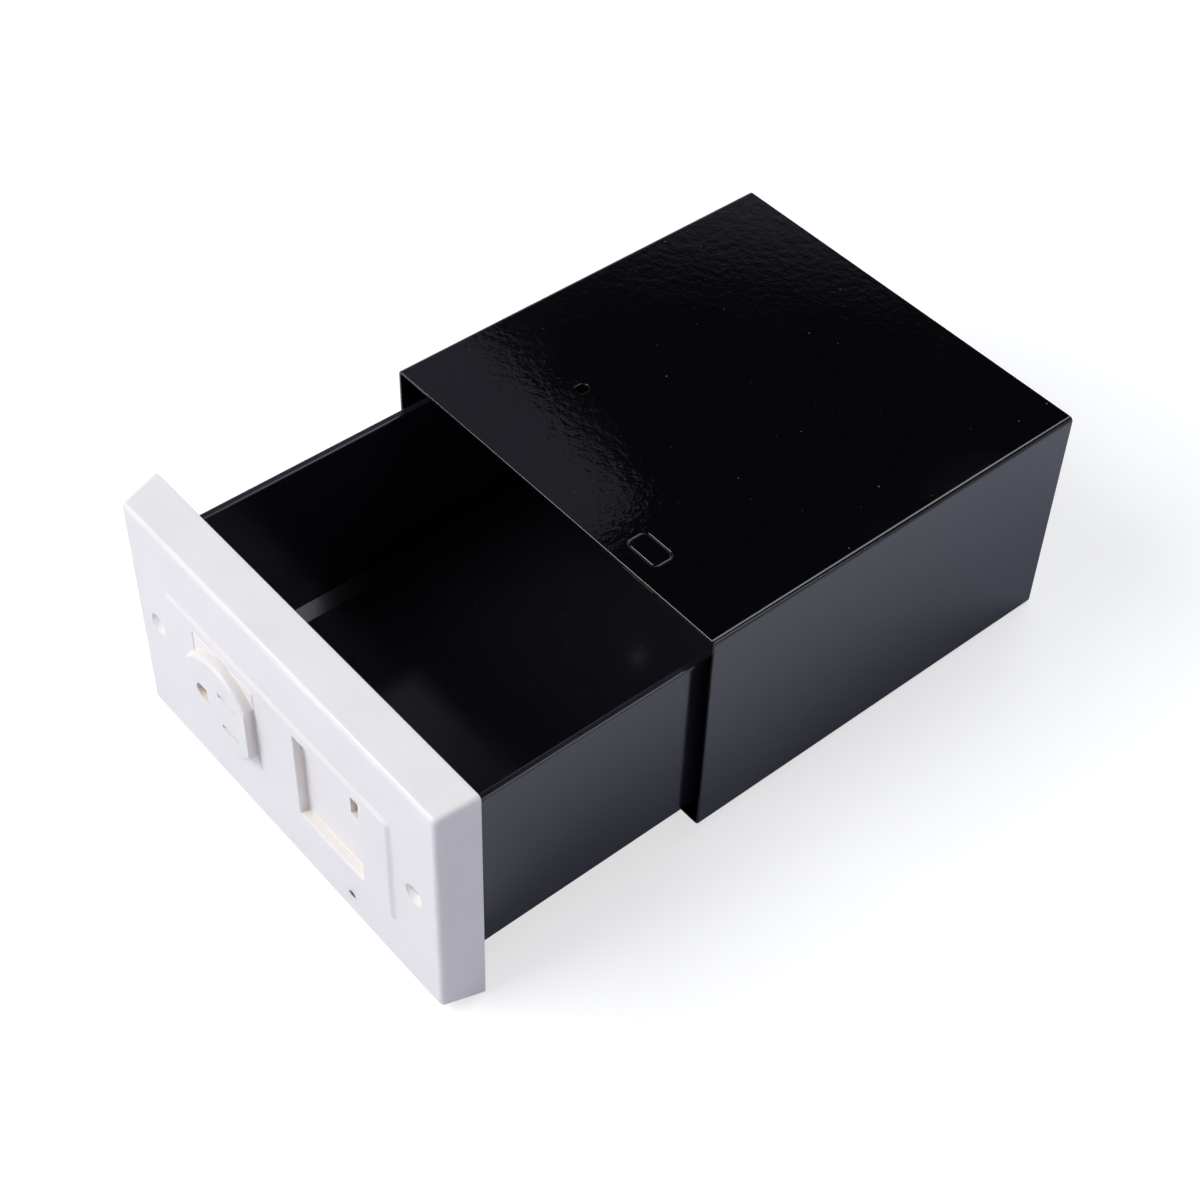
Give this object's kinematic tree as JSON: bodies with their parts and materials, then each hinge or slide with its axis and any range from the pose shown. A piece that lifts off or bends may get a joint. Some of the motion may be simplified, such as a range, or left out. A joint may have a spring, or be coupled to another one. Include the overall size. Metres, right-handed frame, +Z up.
{
  "type": "outlet diversion safe",
  "caption": "Small steel sleeve with a plastic drawer whose front looks like a double wall outlet; a cam lock behind one socket pocket holds the drawer shut.",
  "frame": {"origin": "centre of the sleeve's underside, which is the sleeve_base mount", "axes": "+Z up; +Y back along the sleeve, away from the faceplate; +X to the right of someone who faces the faceplate"},
  "size_m": [0.146, 0.2372, 0.086],
  "materials": {
    "sleeve_paint": "gloss black powder paint with a light orange peel",
    "tray_plastic": "gloss black moulding",
    "plate_plastic": "white moulding, soft gloss",
    "lock_plating": "nickel plated die casting",
    "brass": "plain machined",
    "steel": "zinc plated"
  },
  "bodies": {
    "sleeve": {"outer_sleeve": "sleeve_paint", "back_panel": "sleeve_paint", "latch_keeper": "sleeve_paint"},
    "drawer": {"drawer_tray": "tray_plastic", "faceplate": "plate_plastic", "outlet_insert": "plate_plastic", "insert_screw": "brass", "plate_screw_1": "steel", "plate_screw_2": "steel", "plate_screw_3": "steel", "plate_screw_4": "steel", "lock_housing": "lock_plating", "lock_spur_washer": "steel", "lock_nut": "lock_plating"},
    "lock_barrel": {"lock_plug": "brass", "wafer_1": "brass", "wafer_2": "brass", "wafer_3": "brass", "wafer_4": "brass", "wafer_5": "brass", "stop_washer": "steel", "lock_cam": "steel", "cam_lock_washer": "steel", "cam_screw": "steel"}
  },
  "joints": [
    {"name": "drawer_slide", "type": "slide", "parent": "sleeve", "child": "drawer", "axis": [0, -1, 0], "range_m": [-0.0797, 0.014]},
    {"name": "lock_turn", "type": "hinge", "parent": "drawer", "child": "lock_barrel", "pos_m": [0.0325, -0.15, 0.046], "axis": [0, 1, 0], "range_deg": [0, 180]}
  ]
}
